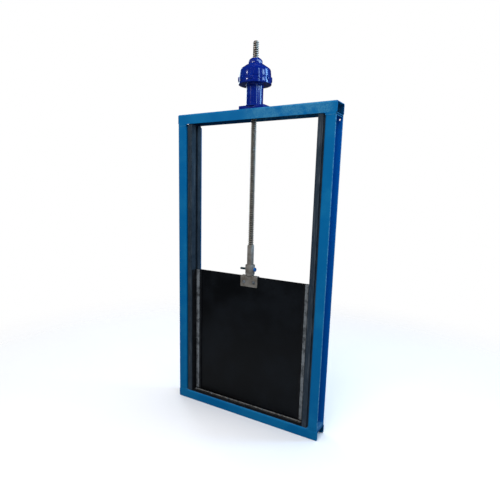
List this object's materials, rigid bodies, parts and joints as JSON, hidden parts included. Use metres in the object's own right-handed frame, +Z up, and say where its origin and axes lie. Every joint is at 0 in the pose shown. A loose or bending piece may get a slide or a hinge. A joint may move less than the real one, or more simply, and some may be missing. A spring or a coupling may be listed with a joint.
{
  "type": "sluice gate",
  "caption": "Wall-mounted square sluice gate: a channel frame with plastic guides, a sliding plate, and a rising screw stem lifted by a hex-capped drive nut in a round headstock.",
  "frame": {"origin": "middle of the frame's foot, on the plane of the back flanges that stand against the wall", "axes": "+X across the gate to the right as seen from the front, +Y from the gate into the wall, +Z up along the stem"},
  "size_m": [0.74, 0.1418, 1.6175],
  "materials": {
    "frame_paint": "semi-gloss blue paint, worn along the edges",
    "headstock_paint": "gloss deep blue paint",
    "guide_plastic": "matt charcoal, scuffed",
    "seal_rubber": "matt black",
    "plate_coating": "satin black coating",
    "stainless": "satin stainless steel",
    "bolt_steel": "dull zinc-plated steel"
  },
  "bodies": {
    "frame": {"left_column": "frame_paint", "right_column": "frame_paint", "top_beam": "frame_paint", "bottom_beam": "frame_paint", "left_foot_plate": "frame_paint", "right_foot_plate": "frame_paint", "left_cap_plate": "frame_paint", "right_cap_plate": "frame_paint", "left_rear_bar": "frame_paint", "right_rear_bar": "frame_paint", "left_guide": "guide_plastic", "right_guide": "guide_plastic", "left_seal": "seal_rubber", "right_seal": "seal_rubber", "sill_seal": "seal_rubber", "left_strip": "stainless", "right_strip": "stainless", "bottom_strip": "stainless", "strip_screws": "stainless", "headstock_base": "headstock_paint", "headstock_tube": "headstock_paint", "lower_housing": "headstock_paint", "upper_housing": "headstock_paint", "housing_bosses": "headstock_paint"},
    "nut": {"drive_nut": "headstock_paint"},
    "gate": {"gate_plate": "plate_coating", "front_bracket": "stainless", "rear_bracket": "stainless", "bracket_bolts": "stainless", "bracket_nuts": "stainless", "stem": "stainless", "stem_sleeve": "stainless", "stem_socket": "stainless", "cross_bolt": "bolt_steel"}
  },
  "joints": [
    {"name": "gate_lift", "type": "slide", "parent": "frame", "child": "gate", "axis": [0, 0, 1], "range_m": [0, 0.6]},
    {"name": "nut_turn", "type": "hinge", "parent": "frame", "child": "nut", "pos_m": [0, -0.037, 1.5], "axis": [0, 0, 1], "range_deg": [0, 27001]}
  ],
  "couplings": [
    {"joint": "nut_turn", "follows": "gate_lift", "rad_per_m": 785.4}
  ]
}
